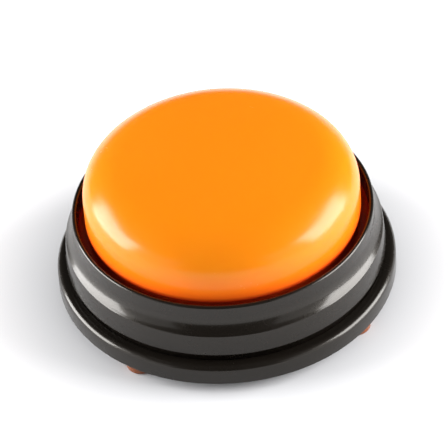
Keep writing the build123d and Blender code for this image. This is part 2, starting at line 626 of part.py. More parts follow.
def speaker_magnet():
    """Magnet cup on the back of the basket."""
    cup = rod(MAGNET_R, SPEAKER_BASKET_Z, MAGNET_TOP_Z, 0, SPEAKER_Y)
    return chamfer(cup.edges().group_by(Axis.Z)[-1], SMALL_STEP)


def speaker_screws():
    """The two screws whose washers hold the speaker's rim down."""
    washer_z = (PLATE_Z + SPEAKER_SEAT_H, PLATE_Z + SPEAKER_SEAT_H + WASHER_T)
    screws = []
    for x in SPEAKER_SCREWS:
        screw = small_screw(x, SPEAKER_Y, washer_z[1], WASHER_T + SPEAKER_SCREW_BITE)
        screws.append(screw + rod(WASHER_R, *washer_z, x, SPEAKER_Y))
    return screws


# ---- wires ----------------------------------------------------------------------------------
def wire(points):
    """A wire of straight runs joined by tangent arcs as large as the runs allow."""
    corners = [Vector(point) for point in points]
    radii = []
    for before, corner, after in zip(corners, corners[1:], corners[2:]):
        shorter = min((corner - before).length, (after - corner).length)
        turn = (corner - before).get_angle(after - corner)
        radii.append(WIRE_BEND * shorter / tan(radians(turn / 2)))
    path = FilletPolyline(*corners, radius=radii)
    tube = sweep(Plane(origin=path @ 0, z_dir=path % 0) * Circle(WIRE_R), path=path)
    print("wire", round(path.length, 1), "mm, radii", [round(radius, 1) for radius in radii],
          "volume ratio", round(tube.volume / (path.length * pi * WIRE_R**2), 4))
    return tube


def battery_wire(index):
    """A wire from a terminal's tab, over the board's edge, down on to the board."""
    y = CELL_Y[index]
    tab_x = TRAY_X - CONTACT_T - WIRE_R
    pad_y = BATTERY_PAD_Y[index]
    high = BOARD_TOP_Z + BATTERY_WIRE_RISE
    low = TRAY_CEILING_Z + TRAY_ROOF_T + HEAD_GAP
    return wire([
        (tab_x, y, low), (tab_x, y, high), (BATTERY_PAD_X, pad_y, high), (BATTERY_PAD_X, pad_y, BOARD_TOP_Z),
    ])


def speaker_wire(side):
    """A wire from the speaker's back up to the underside of the board."""
    start = Vector(SPEAKER_TAG_X * side, SPEAKER_Y + SPEAKER_TAG_Y, SPEAKER_BASKET_Z)
    end = Vector(SPEAKER_PAD_X * side, SPEAKER_Y + SPEAKER_PAD_Y, BOARD_Z)
    rise = Vector(0, 0, SPEAKER_WIRE_RISE)
    return wire([start, start + rise, end - rise, end])


# ---- output ---------------------------------------------------------------------------------
def one_solid(shape):
    """The shape as a plain Solid where it is one, or as a Compound of its solids."""
    if isinstance(shape, list):
        return Compound(children=[one_solid(item) for item in shape])
    solids = shape.solids()
    return solids[0] if len(solids) == 1 else Compound(children=list(solids))


def main():
    """Build every sub-part and write it to its own STEP file."""
    nodes = {
        "top_ring": top_ring(),
        "skirt_ring": skirt_ring(),
        "base_plate": base_plate(),
        "base_screws": base_screws(),
        "feet": feet(),
        "button_cap": button_cap(),
        "contact_pill": contact_pill(),
        "switch_dome": switch_dome(),
        "circuit_board": circuit_board(),
        "board_screws": board_screws(),
        "sound_chip": sound_chip(),
        "capacitor": capacitor(),
        "transistor": transistor(),
        "resistors": resistors(),
        "speaker_frame": speaker_frame(),
        "speaker_cone": speaker_cone(),
        "speaker_magnet": speaker_magnet(),
        "speaker_screws": speaker_screws(),
        "battery_1": cell(0),
        "battery_2": cell(1),
        "bridge_contact": bridge_contact(),
        "positive_terminal": positive_terminal(),
        "negative_terminal": negative_terminal(),
        "red_battery_wire": battery_wire(0),
        "black_battery_wire": battery_wire(1),
        "speaker_wire_left": speaker_wire(-1),
        "speaker_wire_right": speaker_wire(1),
        "battery_door": battery_door(),
        "door_screw": door_screw(),
    }
    for index in range(len(SPRING_ANGLES)):
        nodes[f"return_spring_{index + 1}"] = return_spring(index)
    os.makedirs("parts", exist_ok=True)
    for name, shape in nodes.items():
        export_step(one_solid(shape), f"parts/{name}.step")


main()
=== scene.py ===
"""Looks of the quiz buzzer: a glossy orange dome in a black stepped ring, on a base plate with four feet.

Everything is in metres in the CAD's own frame: +Z up, the origin on the table under the dome's middle,
the battery compartment on the +Y side. Sizes that a class holds are in millimetres and are the CAD's.
"""
import json
import logging
import math
from dataclasses import dataclass, field, replace
from enum import Enum
from typing import Any, Sequence

import bmesh
import bpy
from mathutils import Matrix, Quaternion, Vector


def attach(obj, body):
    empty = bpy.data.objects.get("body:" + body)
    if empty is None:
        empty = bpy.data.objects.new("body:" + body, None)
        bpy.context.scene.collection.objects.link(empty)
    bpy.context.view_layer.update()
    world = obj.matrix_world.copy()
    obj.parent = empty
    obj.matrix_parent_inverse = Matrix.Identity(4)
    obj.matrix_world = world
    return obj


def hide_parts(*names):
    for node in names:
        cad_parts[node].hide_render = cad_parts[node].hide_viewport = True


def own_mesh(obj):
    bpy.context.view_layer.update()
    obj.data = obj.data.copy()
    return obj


MM = 0.001
FULL_TURN = 2 * math.pi
SCRATCH_MM = 24.0            # length of a scratch
SCRATCH_STRETCH = 30.0       # how many times longer than wide it is
SCRATCH_TURNS = (0.5, 2.1)   # the two ways that scratches run, in radians
FOOT_HEIGHT = 2.6
BOARD_TOP = FOOT_HEIGHT + 20.4
Tree = bpy.types.NodeTree
Socket = bpy.types.NodeSocket
Mesh = bmesh.types.BMesh
Piece = bpy.types.Object
log = logging.getLogger("quiz_buzzer")
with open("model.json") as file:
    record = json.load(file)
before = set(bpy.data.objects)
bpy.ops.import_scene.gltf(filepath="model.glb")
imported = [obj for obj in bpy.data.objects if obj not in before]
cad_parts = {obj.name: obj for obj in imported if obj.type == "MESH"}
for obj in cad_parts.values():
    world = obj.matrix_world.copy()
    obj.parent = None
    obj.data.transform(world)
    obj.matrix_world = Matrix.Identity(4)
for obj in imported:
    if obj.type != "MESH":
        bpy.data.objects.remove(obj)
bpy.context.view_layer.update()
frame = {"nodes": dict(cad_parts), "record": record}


class Body(str, Enum):
    """The CAD bodies that pieces ride on."""

    BASE = "base"
    BUTTON = "button"
    DOOR = "door"


# ---- material helpers -----------------------------------------------------------------------
def linear(hex_colour: str) -> tuple[float, float, float, float]:
    """Turn an sRGB hex colour into linear RGBA.

    Args:
        hex_colour: six hex digits with a leading #.

    Returns:
        Red, green, blue and an alpha of 1, linear.
    """
    channels = [int(hex_colour[place : place + 2], 16) / 255 for place in (1, 3, 5)]
    lin = [c / 12.92 if c <= 0.04045 else ((c + 0.055) / 1.055) ** 2.4 for c in channels]
    return (*lin, 1.0)


def add_node(tree: Tree, kind: str, inputs: dict | None = None, **settings: Any) -> bpy.types.Node:
    """Add a node, set its properties, and set or link its inputs.

    Args:
        tree: the node tree.
        kind: the node's type, such as "ShaderNodeMapping".
        inputs: input name or number to a value, or to an output socket to link.
        settings: the node's own properties.

    Returns:
        The new node.
    """
    node = tree.nodes.new(kind)
    for name, value in settings.items():
        setattr(node, name, value)
    for key, value in (inputs or {}).items():
        if isinstance(value, Socket):
            tree.links.new(value, node.inputs[key])
        else:
            node.inputs[key].default_value = value
    return node


@dataclass(frozen=True)
class Bands:
    """Colours along one axis of the part.

    Attributes:
        axis: X, Y or Z.
        stops: places in millimetres along it, each with its sRGB hex colour.
        sharp: whether each colour stops dead at the next one.
    """

    axis: str
    stops: tuple[tuple[float, str], ...]
    sharp: bool = False

    def colour(self, tree: Tree, place: Socket) -> Socket:
        """The banded colour at a place.

        Args:
            tree: the node tree.
            place: the socket of Object coordinates.

        Returns:
            The colour's socket.
        """
        first, last = self.stops[0][0], self.stops[-1][0]
        along = add_node(tree, "ShaderNodeSeparateXYZ", {"Vector": place}).outputs[self.axis]
        span = {"Value": along, "From Min": first * MM, "From Max": last * MM}
        share = add_node(tree, "ShaderNodeMapRange", span)
        node = add_node(tree, "ShaderNodeValToRGB", {"Fac": share.outputs["Result"]})
        node.color_ramp.interpolation = "CONSTANT" if self.sharp else "LINEAR"
        elements = node.color_ramp.elements
        while len(elements) < len(self.stops):
            elements.new(0.5)
        for element, (where, colour) in zip(elements, self.stops):
            element.position = (where - first) / (last - first)
            element.color = linear(colour)
        return node.outputs["Color"]


@dataclass(frozen=True)
class Finish:
    """A real material, with fine grain, smudges and a little wear.

    Attributes:
        name: the material's name.
        colour: its sRGB hex colour.
        roughness: how rough it is where it is clean, from 0 to 1.
        metallic: 1 for bare metal and 0 for anything else.
        ior: refractive index of anything but metal.
        grain_mm: size of the surface's fine grain.
        grain_depth_mm: how deep the grain is.
        smudge_mm: size of the patches that hands leave.
        smudge: how much rougher those patches are.
        scratch: how much rougher a hairline scratch is.
        tone: how far the colour drifts lighter and darker, as a part of its brightness.
        bands: colours along an axis, in place of the one colour.
        extra: further inputs of the shader.
    """

    name: str
    colour: str
    roughness: float
    metallic: float = 0.0
    ior: float = 1.5
    grain_mm: float = 0.4
    grain_depth_mm: float = 0.002
    smudge_mm: float = 14.0
    smudge: float = 0.04
    scratch: float = 0.0
    tone: float = 0.04
    bands: Bands | None = None
    extra: dict = field(default_factory=dict)

    def material(self) -> bpy.types.Material:
        """Make the material once and give the same one again after that.

        Returns:
            The material, whose name is the finish's.
        """
        found = bpy.data.materials.get(self.name)
        if found:
            return found
        made = bpy.data.materials.new(self.name)
        made.use_nodes = True
        tree = made.node_tree
        shader = tree.nodes["Principled BSDF"]
        shader.inputs["Metallic"].default_value = self.metallic
        if not self.metallic:
            shader.inputs["IOR"].default_value = self.ior
        for socket, value in self.extra.items():
            shader.inputs[socket].default_value = value
        place = add_node(tree, "ShaderNodeTexCoord").outputs["Object"]
        tree.links.new(self.colour_of(tree, place), shader.inputs["Base Color"])
        tree.links.new(self.roughness_of(tree, place), shader.inputs["Roughness"])
        tree.links.new(self.normal_of(tree, place), shader.inputs["Normal"])
        return made

    def colour_of(self, tree: Tree, place: Socket) -> Socket:
        """The colour, a little lighter and darker in broad soft patches.

        Args:
            tree: the node tree.
            place: the socket of Object coordinates.

        Returns:
            The colour's socket.
        """
        patches = self.noise(tree, place, self.smudge_mm * 2, 3)
        shade = add_node(
            tree, "ShaderNodeMapRange",
            {
                "Value": patches, "From Min": 0.3, "From Max": 0.7,
                "To Min": 1 - self.tone, "To Max": 1 + self.tone,
            },
        )
        base = self.bands.colour(tree, place) if self.bands else linear(self.colour)
        tinted = add_node(tree, "ShaderNodeHueSaturation", {"Color": base, "Value": shade.outputs["Result"]})
        return tinted.outputs["Color"]

    def roughness_of(self, tree: Tree, place: Socket) -> Socket:
        """The roughness, uneven where hands have been and higher in the hairline scratches.

        Args:
            tree: the node tree.
            place: the socket of Object coordinates.

        Returns:
            The roughness's socket.
        """
        smears = self.noise(tree, place, self.smudge_mm, 6)
        spread = add_node(
            tree, "ShaderNodeMapRange",
            {
                "Value": smears, "From Min": 0.35, "From Max": 0.7,
                "To Min": self.roughness, "To Max": self.roughness + self.smudge,
            },
        )
        if not self.scratch:
            return spread.outputs["Result"]
        scratches = self.hairlines(tree, place)
        marks = add_node(
            tree, "ShaderNodeMath", {0: scratches, 1: self.scratch, 2: spread.outputs["Result"]},
            operation="MULTIPLY_ADD",
        )
        return marks.outputs["Value"]

    def hairlines(self, tree: Tree, place: Socket) -> Socket:
        """Short straight scratches: the peaks of two long thin noises.

        Args:
            tree: the node tree.
            place: the socket of Object coordinates.

        Returns:
            A socket that is 1 on a scratch and 0 off it.
        """
        lines = []
        for turn in SCRATCH_TURNS:
            scale = (1, SCRATCH_STRETCH, SCRATCH_STRETCH)
            stretched = add_node(
                tree, "ShaderNodeMapping", {"Vector": place, "Rotation": (0.3, 0.2, turn), "Scale": scale}
            )
            streaks = self.noise(tree, stretched.outputs["Vector"], SCRATCH_MM, 1)
            peaks = add_node(
                tree, "ShaderNodeMapRange", {"Value": streaks, "From Min": 0.7, "From Max": 0.74}
            )
            lines.append(peaks.outputs["Result"])
        crossed = add_node(tree, "ShaderNodeMath", {0: lines[0], 1: lines[1]}, operation="MAXIMUM")
        return crossed.outputs["Value"]

    def normal_of(self, tree: Tree, place: Socket) -> Socket:
        """Fine grain as a bump of its real depth.

        Args:
            tree: the node tree.
            place: the socket of Object coordinates.

        Returns:
            The normal's socket.
        """
        grain = self.noise(tree, place, self.grain_mm, 2)
        bump = add_node(
            tree, "ShaderNodeBump", {"Height": grain, "Distance": self.grain_depth_mm * MM, "Strength": 1.0}
        )
        return bump.outputs["Normal"]

    @staticmethod
    def noise(tree: Tree, place: Socket, size_mm: float, detail: float) -> Socket:
        """Noise whose largest features are about a given size.

        Args:
            tree: the node tree.
            place: the socket of Object coordinates, or of a place made from them.
            size_mm: the size of the largest features.
            detail: how many finer layers lie over them.

        Returns:
            The noise's socket.
        """
        node = add_node(
            tree, "ShaderNodeTexNoise", {"Vector": place, "Scale": 1 / (size_mm * MM), "Detail": detail}
        )
        return node.outputs["Fac"]


@dataclass(frozen=True)
class TrackedFinish(Finish):
    """A circuit board's lacquer, lighter where copper tracks run beneath it.

    Attributes:
        track_colour: sRGB hex colour over a track.
        track_pitch_mm: distance between two tracks.
        track_width: a track's width, as a part of the pitch.
        track_length: a track's length, as a part of the pitch.
    """

    track_colour: str = "#1C7038"
    track_pitch_mm: float = 1.5
    track_width: float = 0.1
    track_length: float = 6.5

    def colour_of(self, tree: Tree, place: Socket) -> Socket:
        """The lacquer's colour with the grid of tracks.

        Args:
            tree: the node tree.
            place: the socket of Object coordinates.

        Returns:
            The colour's socket.
        """
        plain = super().colour_of(tree, place)
        tracks = add_node(
            tree, "ShaderNodeTexBrick",
            {
                "Vector": place, "Color1": plain, "Color2": plain, "Mortar": linear(self.track_colour),
                "Scale": 1 / (self.track_pitch_mm * MM), "Brick Width": self.track_length, "Row Height": 1.0,
                "Mortar Size": self.track_width, "Mortar Smooth": 0.1,
            },
            offset=0.37, squash=0.45, squash_frequency=3,
        )
        return tracks.outputs["Color"]


# Polished ABS: a deep, wet-looking gloss over an even colour, with painted shade and light low down: maroon
# in the gap where the ring shades it, brighter red-orange on the wall just above the rim.
ORANGE_ABS = Finish(
    "orange_ABS_polished", "#C86E06", 0.21, ior=1.5, grain_mm=3.0, grain_depth_mm=0.002, smudge=0.04,
    tone=0.012, scratch=0.03,
    # painted shade and light along Z: maroon below the rim, brighter red-orange just above it, the plain
    # colour from 32 mm up
    bands=Bands("Z", ((23.4, "#B4300C"), (24.4, "#E86014"), (27.0, "#D8680A"), (32.0, "#C86E06"))),
    extra={
        "Specular IOR Level": 0.23, "Subsurface Weight": 0.15, "Subsurface Radius": (1.0, 0.4, 0.05),
        "Subsurface Scale": 1.2 * MM,
    },
)
# Moulded black ABS: glossy enough to mirror the lights softly, warm in the shadows.
BLACK_ABS = Finish(
    "black_ABS_glossy", "#120F0C", 0.24, ior=1.5, grain_mm=2.5, grain_depth_mm=0.003, smudge=0.08, tone=0.05,
    scratch=0.12,
    extra={
        "Specular IOR Level": 0.2, "Specular Tint": (1.0, 0.94, 0.86, 1.0), "Coat Weight": 0.35,
        "Coat Roughness": 0.13, "Coat IOR": 1.45, "Coat Tint": (1.0, 0.97, 0.93, 1.0),
    },
)
# Spark-eroded black ABS on the side that nobody looks at: matt and finely pitted.
BASE_ABS = Finish(
    "black_ABS_textured", "#1C1A19", 0.48, ior=1.5, grain_mm=0.35, grain_depth_mm=0.03, smudge=0.1,
    tone=0.08, scratch=0.12,
)
# Soft feet with painted shade: moulded in the dome's orange, they are given the brown that the orange takes
# in the shadow under the flange; a little translucent, with a shine where it is clean.
FOOT_RUBBER_PAINTED_SHADE = Finish(
    "TPE_rubber_painted_shade", "#6E3A1C", 0.2, ior=1.5, grain_mm=0.5, grain_depth_mm=0.01, smudge=0.1, tone=0.06,
    extra={"Subsurface Weight": 0.1, "Subsurface Radius": (1.0, 0.45, 0.2), "Subsurface Scale": 0.6 * MM},
)
# Zinc plating: the pale grey of a cheap screw, dulled by handling.
ZINC = Finish("zinc_plated_steel", "#B9B7AE", 0.28, metallic=1.0, grain_mm=0.25, smudge=0.1)
# Nickel plating: a warmer and smoother shine, for contacts and cell cans.
NICKEL = Finish("nickel_plated_steel", "#C6BDAA", 0.22, metallic=1.0, grain_mm=0.25, smudge=0.08)
# Drawn wire: fine lines of light along each turn.
SPRING_STEEL = Finish("drawn_spring_steel", "#9B9B98", 0.3, metallic=1.0, grain_mm=0.2, smudge=0.1)
# Milky silicone: soft light through the skin, hardly any shine.
SILICONE = Finish("translucent_silicone", "#C9C7BE", 0.45, ior=1.41, extra={"Subsurface Weight": 0.4})
# Carbon-filled rubber: flat black.
CARBON = Finish("conductive_carbon_rubber", "#1C1C1D", 0.7)
# Green lacquer over the board, with the tracks showing through it.
SOLDER_MASK = TrackedFinish("green_solder_mask", "#0F5A2C", 0.3, grain_mm=0.5, tone=0.1)
# A poured drop of epoxy: black with a round highlight.
RESIN = Finish("black_epoxy_resin", "#101010", 0.2, smudge=0.1)
# Shrink sleeve with the pale stripe that marks a capacitor's negative lead.
SLEEVE = Finish(
    "shrink_sleeve", "#22304C", 0.3,
    bands=Bands("X", ((6.5, "#C6CAD2"), (7.3, "#22304C"), (11.5, "#22304C")), sharp=True),
)
# Moulded epoxy: matt black, as on any small transistor.
CASE_EPOXY = Finish("moulded_epoxy_case", "#1A1A1A", 0.55)
# Tan lacquer with four coloured rings across it.
LACQUER = Finish(
    "resistor_lacquer", "#C9A676", 0.35,
    bands=Bands(
        "Y",
        (
            (5.0, "#C9A676"), (6.6, "#7A4A1E"), (7.0, "#C9A676"), (7.6, "#1A1A1A"), (8.0, "#C9A676"),
            (8.6, "#B3261C"), (9.0, "#C9A676"), (10.2, "#B08D3A"), (10.6, "#C9A676"), (13.0, "#C9A676"),
        ),
        sharp=True,
    ),
)
# Pressed sheet: grey and cloudy, with the tool's fine grain.
PRESSED_STEEL = Finish("pressed_zinc_steel", "#A8A8A5", 0.35, metallic=1.0, smudge=0.12)
# Thin film: pale and smooth, so its ripples catch the light.
FILM = Finish("polyester_film", "#9FA3A0", 0.25, ior=1.6)
# A plated magnet cup: darker than the basket round it.
MAGNET = Finish("nickel_plated_magnet", "#8D8D8F", 0.3, metallic=1.0)
# Printed shrink film of a cell: dark blue, with a silver band at the positive end.
JACKET = Finish("cell_jacket", "#1F3566", 0.22, scratch=0.1)
# Tin-lead solder and tinned leads: bright, soft-edged metal.
TIN = Finish("tinned_copper", "#C2C3C4", 0.24, metallic=1.0, grain_mm=0.3, smudge=0.1)
# Insulation: a waxy, low shine in the two usual colours.
RED_PVC = Finish("red_PVC_insulation", "#B3201C", 0.4)
BLACK_PVC = Finish("black_PVC_insulation", "#1B1B1B", 0.42)

SLOT_FINISHES = {
    "black_abs": BLACK_ABS,
    "orange_abs": ORANGE_ABS,
    # painted shade: the record's feet slot, dressed in the shaded brown
    "brown_rubber": FOOT_RUBBER_PAINTED_SHADE,
    "zinc_steel": ZINC,
    "nickel_steel": NICKEL,
    "spring_steel": SPRING_STEEL,
    "silicone": SILICONE,
    "carbon": CARBON,
    "board": SOLDER_MASK,
    "resin": RESIN,
    "can_sleeve": SLEEVE,
    "black_epoxy_case": CASE_EPOXY,
    "resistor_lacquer": LACQUER,
    "basket_steel": PRESSED_STEEL,
    "cone_film": FILM,
    "magnet": MAGNET,
    "cell_jacket": JACKET,
    "red_pvc": RED_PVC,
    "black_pvc": BLACK_PVC,
}


# CAD nodes whose surface differs from the rest of their slot.
NODE_FINISHES = {"base_plate": BASE_ABS, "battery_door": BASE_ABS}


# ---- mesh helpers ---------------------------------------------------------------------------
class Lathe:
    """Draws an outline of radius and height in millimetres and spins it round an upright axis."""

    def __init__(self, radius: float, height: float) -> None:
        """Start the outline at a point.

        Args:
            radius: the point's distance from the axis.
            height: the point's height.
        """
        self.mesh = bmesh.new()
        self.first = self.mesh.verts.new((radius, 0, height))
        self.last = self.first

    def line(self, *points: tuple[float, float]) -> "Lathe":
        """Add straight runs.

        Args:
            points: radius and height of each further point.

        Returns:
            The lathe itself.
        """
        for radius, height in points:
            following = self.mesh.verts.new((radius, 0, height))
            self.mesh.edges.new((self.last, following))
            self.last = following
        return self

    def arc(self, centre: tuple[float, float], degrees: float, steps: int) -> "Lathe":
        """Add an arc that starts at the last point.

        Args:
            centre: radius and height of its centre.
            degrees: how far it turns, anticlockwise where positive.
            steps: how many edges it has.

        Returns:
            The lathe itself.
        """
        turned = bmesh.ops.spin(
            self.mesh, geom=[self.last], cent=(centre[0], 0, centre[1]), axis=(0, -1, 0),
            angle=math.radians(degrees), steps=steps, use_merge=False, use_duplicate=False,
        )
        self.last = picked(turned["geom_last"], bmesh.types.BMVert)[0]
        return self

    def close(self) -> "Lathe":
        """Join the outline's end to its start.

        Returns:
            The lathe itself.
        """
        self.mesh.edges.new((self.last, self.first))
        return self

    def round_corners(self, corners: Sequence[tuple[float, float, float]], segments: int = 4) -> "Lathe":
        """Round outline corners.

        Args:
            corners: radius and height of each corner, and the size of its rounding.
            segments: how many edges each rounding has.

        Returns:
            The lathe itself.
        """
        for radius, height, size in corners:
            spot = Vector((radius, 0, height))
            corner = min(self.mesh.verts, key=lambda vert: (vert.co - spot).length)
            bmesh.ops.bevel(
                self.mesh, geom=[corner], offset=size, offset_type="OFFSET", segments=segments, profile=0.5,
                affect="VERTICES", clamp_overlap=True, material=-1,
            )
        return self

    def spin(self, steps: int, place: Matrix | None = None) -> Mesh:
        """Spin the outline a full turn about Z.

        Args:
            steps: how many edges the turn has.
            place: where the spun mesh goes, in millimetres.

        Returns:
            The closed mesh, its normals outward.
        """
        bmesh.ops.spin(
            self.mesh, geom=[*self.mesh.verts, *self.mesh.edges], cent=(0, 0, 0), axis=(0, 0, 1),
            angle=FULL_TURN, steps=steps, use_merge=True, use_duplicate=False,
        )
        bmesh.ops.remove_doubles(self.mesh, verts=self.mesh.verts, dist=1e-4)
        if place:
            bmesh.ops.transform(self.mesh, matrix=place, verts=self.mesh.verts)
        bmesh.ops.recalc_face_normals(self.mesh, faces=self.mesh.faces)
        return self.mesh


def joined(meshes: Sequence[Mesh]) -> Mesh:
    """Put several meshes into one, and free them.

    Args:
        meshes: the meshes.

    Returns:
        The one mesh.
    """
    whole = bmesh.new()
    for mesh in meshes:
        data = bpy.data.meshes.new("part")
        mesh.to_mesh(data)
        mesh.free()
        whole.from_mesh(data)
        bpy.data.meshes.remove(data)
    return whole


def on_circle(radius: float, degrees: Sequence[float]) -> list[tuple[float, float]]:
    """Points on a circle about the origin.

    Args:
        radius: the circle's radius in millimetres.
        degrees: the angle of each point from +X.

    Returns:
        X and Y of each point.
    """
    return [(radius * math.cos(math.radians(a)), radius * math.sin(math.radians(a))) for a in degrees]


def picked(geometry: Sequence, kind: type) -> list:
    """The elements of one kind from an operator's result.

    Args:
        geometry: vertices, edges and faces.
        kind: the bmesh type to keep.

    Returns:
        The elements of that kind, in their order.
    """
    return [item for item in geometry if isinstance(item, kind)]


def piece(
    name: str, mesh: Mesh, finish: Finish, body: Body, replaced: Sequence[str] = ()
) -> Piece:
    """Turn a finished mesh in millimetres into a piece that rides on a body.

    Args:
        name: the piece's name.
        mesh: its mesh, in millimetres in the CAD's frame.
        finish: what it is made of.
        body: the CAD body that it moves with.
        replaced: CAD nodes that it stands for.

    Returns:
        The new object.
    """
    bmesh.ops.scale(mesh, vec=(MM, MM, MM), verts=mesh.verts)
    data = bpy.data.meshes.new(name)
    mesh.to_mesh(data)
    mesh.free()
    data.polygons.foreach_set("use_smooth", [True] * len(data.polygons))
    made = bpy.data.objects.new(name, data)
    bpy.context.scene.collection.objects.link(made)
    data.materials.append(finish.material())
    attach(made, body.value)
    if replaced:
        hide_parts(*replaced)
    log.info("%s: %d faces, rides on %s", name, len(data.polygons), body.value)
    return made


# ---- sub-assemblies -------------------------------------------------------------------------
@dataclass
class Dome:
    """The button: a domed cap with a straight wall and a hold-down flange, and the works moulded in it."""

    radius: float = 35.9
    wall: float = 2.2
    wall_top: float = FOOT_HEIGHT + 27.4
    bottom: float = FOOT_HEIGHT + 14.3
    flange_radius: float = 38.6
    flange_thickness: float = 1.4
    undercut_radius: float = 35.3
    undercut_top: float = FOOT_HEIGHT + 20.5
    shoulders: tuple = ((8.0, 48.0), (15.0, 82.0))
    plunger_radius: float = 3.0
    plunger_bottom: float = BOARD_TOP + 5.7
    tube_radii: tuple[float, float] = (3.3, 4.2)
    tube_heights: tuple[float, float] = (FOOT_HEIGHT + 18.3, FOOT_HEIGHT + 23.85)
    tube_circle: float = 29.0
    tube_angles: tuple[int, ...] = (90, 210, 330)
    rib_thickness: float = 1.2
    rib_depth: float = 4.5
    root_depth: float = 1.0
    stub: float = 5.0
    skin_share: float = 0.4
    arc_steps: int = 14
    works_steps: int = 48
    steps: int = 224

    def arcs(self) -> list[tuple[float, float, float, float, float]]:
        """Work out the arcs of the dome's outline, each tangent to the one before it.

        Returns:
            Each arc's centre radius and height, its own radius, and its start and end tilt in degrees.
        """
        rows = []
        centre_r = self.radius - self.shoulders[0][0]
        centre_z = self.wall_top
        tilt = 0.0
        for index, (size, end_tilt) in enumerate(self.shoulders):
            rows.append((centre_r, centre_z, size, tilt, end_tilt))
            cos_end = math.cos(math.radians(end_tilt))
            sin_end = math.sin(math.radians(end_tilt))
            if index + 1 < len(self.shoulders):
                following = self.shoulders[index + 1][0]
            else:
                following = (centre_r + size * cos_end) / cos_end
            centre_r -= (following - size) * cos_end
            centre_z -= (following - size) * sin_end
            tilt = end_tilt
        rows.append((0.0, centre_z, following, tilt, 90.0))
        return rows

    def roof(self, radius: float) -> float:
        """Height of the dome's inner skin.

        Args:
            radius: distance from the axis.

        Returns:
            The height there.
        """
        for centre_r, centre_z, size, _, end in self.arcs():
            inner = size - self.wall
            if radius >= centre_r + inner * math.cos(math.radians(end)) - 1e-6:
                break
        return centre_z + math.sqrt(inner**2 - (radius - centre_r) ** 2)

    def build(self) -> list[Piece]:
        """Build the cap's shell and the works inside it.

        Returns:
            Both pieces.
        """
        return [self.shell(), self.works()]

    def shell(self) -> Piece:
        """Spin the cap's shell.

        Returns:
            The piece.
        """
        flange_top = self.bottom + self.flange_thickness
        inner = self.radius - self.wall
        chamfer = self.radius - self.undercut_radius
        lathe = Lathe(self.radius, self.wall_top)
        for centre_r, centre_z, _, start, end in self.arcs():
            lathe.arc((centre_r, centre_z), end - start, self.arc_steps)
        lathe.line((0.0, self.roof(0.0)))
        for centre_r, centre_z, _, start, end in reversed(self.arcs()):
            lathe.arc((centre_r, centre_z), start - end, self.arc_steps)
        lathe.line(
            (inner, self.bottom), (self.flange_radius, self.bottom), (self.flange_radius, flange_top),
            (self.undercut_radius, flange_top), (self.undercut_radius, self.undercut_top - chamfer),
            (self.radius, self.undercut_top),
        )
        lathe.close()
        lathe.round_corners([
            (self.undercut_radius, flange_top, 0.4), (self.flange_radius, flange_top, 0.25),
            (self.flange_radius, self.bottom, 0.25), (inner, self.bottom, 0.25),
            (self.radius, self.undercut_top, 0.2),
        ])
        return piece(
            "button_dome", lathe.spin(self.steps), ORANGE_ABS, Body.BUTTON, ["button_cap"]
        )

    def works(self) -> Piece:
        """Make the plunger, the spring tubes and the ribs between them, rooted in the shell's wall.

        Returns:
            The piece.
        """
        root = self.roof(self.tube_circle + self.tube_radii[1]) - self.root_depth
        stub_top = root + self.stub
        plunger = Lathe(0.0, self.plunger_bottom)
        plunger.line(
            (self.plunger_radius, self.plunger_bottom), (self.plunger_radius, stub_top), (0.0, stub_top)
        )
        plunger.round_corners([(self.plunger_radius, self.plunger_bottom, 0.4)])
        meshes = [plunger.spin(self.works_steps)]
        bore, outside = self.tube_radii
        low, bore_top = self.tube_heights
        for angle, (x, y) in zip(self.tube_angles, on_circle(self.tube_circle, self.tube_angles)):
            tube = Lathe(0.0, bore_top)
            tube.line((bore, bore_top), (bore, low), (outside, low), (outside, stub_top), (0.0, stub_top))
            tube.round_corners([(bore, low, 0.3), (outside, low, 0.2)])
            meshes.append(tube.spin(self.works_steps, Matrix.Translation((x, y, 0))))
            meshes.append(self.rib(angle))
        works = joined(meshes)
        for vert in works.verts:
            if vert.co.z > stub_top - 2 * self.root_depth:
                vert.co.z = self.buried(vert.co.xy.length)
        return piece("button_works", works, ORANGE_ABS, Body.BUTTON, ["button_cap"])

    def buried(self, radius: float) -> float:
        """Height of a place inside the shell's wall, where the works end.

        Args:
            radius: distance from the axis.

        Returns:
            The height there.
        """
        return self.roof(radius) + self.wall * self.skin_share

    def rib(self, angle: float) -> Mesh:
        """One upright rib from the plunger out to a spring tube.

        Args:
            angle: the way it runs, in degrees from +X.

        Returns:
            The rib's mesh.
        """
        low = self.roof(0.0) - self.rib_depth
        reach = self.tube_circle - self.tube_radii[1]
        mesh = bmesh.new()
        bmesh.ops.create_grid(mesh, x_segments=12, y_segments=1, size=0.5)
        grown = bmesh.ops.extrude_face_region(mesh, geom=mesh.faces[:])
        for vert in picked(grown["geom"], bmesh.types.BMVert):
            vert.co.z = 1.0
        bmesh.ops.recalc_face_normals(mesh, faces=mesh.faces)
        for vert in mesh.verts:
            along = (vert.co.x + 0.5) * reach
            vert.co.x = along
            vert.co.y *= self.rib_thickness
            foot = min(low, self.roof(along) - 0.4)
            vert.co.z = self.buried(along) if vert.co.z > 0.5 else foot
        bmesh.ops.rotate(mesh, matrix=Matrix.Rotation(math.radians(angle), 3, "Z"), verts=mesh.verts)
        return mesh


